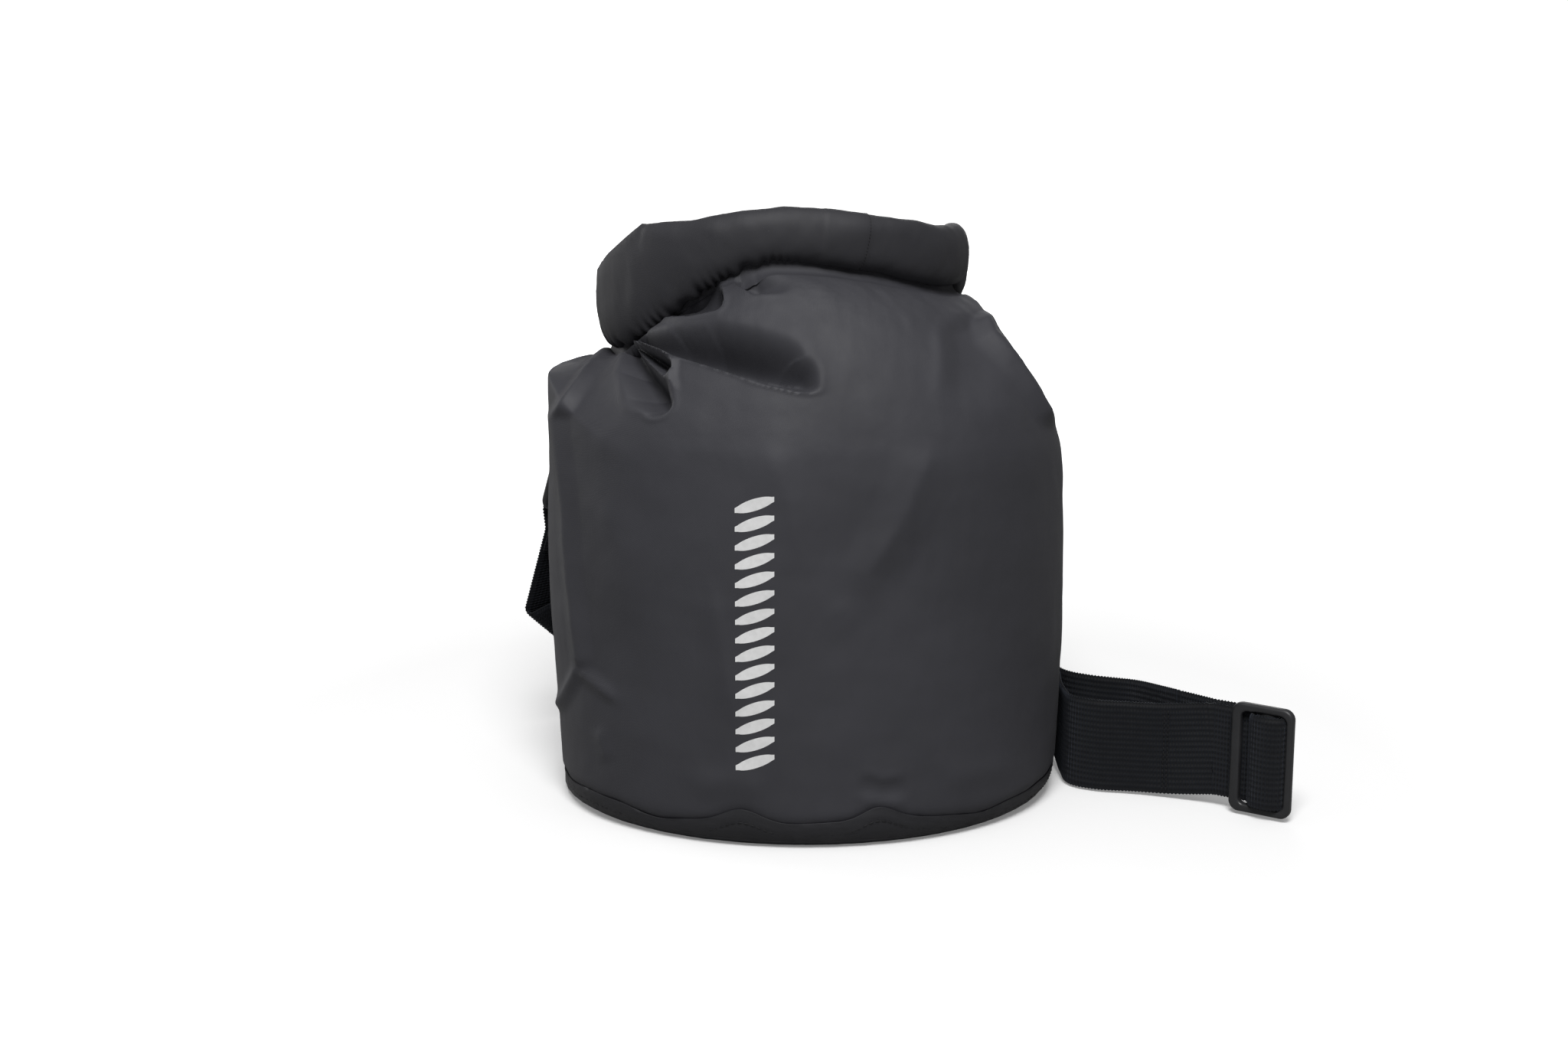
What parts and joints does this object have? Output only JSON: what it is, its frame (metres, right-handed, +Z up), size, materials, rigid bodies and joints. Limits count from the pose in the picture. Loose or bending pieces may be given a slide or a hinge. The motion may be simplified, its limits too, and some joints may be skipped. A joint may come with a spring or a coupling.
{
  "type": "roll-top dry bag",
  "caption": "Black roll-top dry bag standing upright, its top rolled into a horseshoe and buckled behind, with a webbing shoulder strap and slider lying to its right.",
  "frame": {"origin": "centre of the base, on the floor", "axes": "+Z up, the bag's front faces -Y, +X to the right as seen from the front"},
  "size_m": [0.3091, 0.1895, 0.2418],
  "materials": {
    "coated_fabric": "matt black polyurethane-coated polyester",
    "seam_tape": "satin",
    "webbing": "ribbed matt black polyester webbing",
    "moulded_plastic": "matt black acetal, fine texture",
    "stiffener_plastic": "matt"
  },
  "bodies": {
    "bag": {"body_tube": "coated_fabric", "base_cup": "coated_fabric", "base_seam_tape": "seam_tape", "back_seam_tape": "seam_tape", "upper_patch": "coated_fabric", "lower_patch": "coated_fabric", "upper_tab": "webbing", "lower_tab": "webbing", "strap_upper_run": "webbing", "strap_lower_run": "webbing"},
    "closure": {"rolled_closure": "coated_fabric", "closure_stiffener": "stiffener_plastic", "buckle_tab_left": "webbing", "buckle_socket": "moulded_plastic"},
    "plug": {"buckle_plug": "moulded_plastic", "buckle_tab_right": "webbing"},
    "upper_arm": {"buckle_upper_arm": "moulded_plastic"},
    "lower_arm": {"buckle_lower_arm": "moulded_plastic"},
    "upper_ring": {"upper_ring": "moulded_plastic", "strap_upper_end": "webbing"},
    "lower_ring": {"lower_ring": "moulded_plastic", "strap_lower_end": "webbing"},
    "slider": {"strap_slider": "moulded_plastic", "strap_slider_turn": "webbing", "strap_sewn_end": "webbing"}
  },
  "joints": [
    {"name": "closure_tilt", "type": "hinge", "parent": "bag", "child": "closure", "pos_m": [0, -0.04, 0.214], "axis": [1, 0, 0], "range_deg": [0, 12]},
    {"name": "buckle_release", "type": "slide", "parent": "closure", "child": "plug", "axis": [1, 0, 0], "range_m": [0, 0.02]},
    {"name": "upper_arm_squeeze", "type": "hinge", "parent": "plug", "child": "upper_arm", "pos_m": [0.0003, 0.0725, 0.2007], "axis": [0, -1, 0], "range_deg": [0, 16.5]},
    {"name": "lower_arm_squeeze", "type": "hinge", "parent": "plug", "child": "lower_arm", "pos_m": [0.0003, 0.0725, 0.1793], "axis": [0, 1, 0], "range_deg": [0, 16.5]},
    {"name": "upper_ring_swing", "type": "hinge", "parent": "bag", "child": "upper_ring", "pos_m": [-0.0893, 0.05053, 0.128], "axis": [0.6355, 0.7721, 0], "range_deg": [-12, 25]},
    {"name": "lower_ring_swing", "type": "hinge", "parent": "bag", "child": "lower_ring", "pos_m": [0.05036, 0.0793, 0.027], "axis": [0, 0, 1], "range_deg": [0, 18]},
    {"name": "strap_adjust", "type": "slide", "parent": "bag", "child": "slider", "axis": [0.829, -0.5592, 0], "range_m": [-0.003, 0.016]}
  ],
  "couplings": [
    {"joint": "upper_arm_squeeze", "follows": "buckle_release", "rad_per_m": 13.8},
    {"joint": "lower_arm_squeeze", "follows": "buckle_release", "rad_per_m": 13.8}
  ]
}
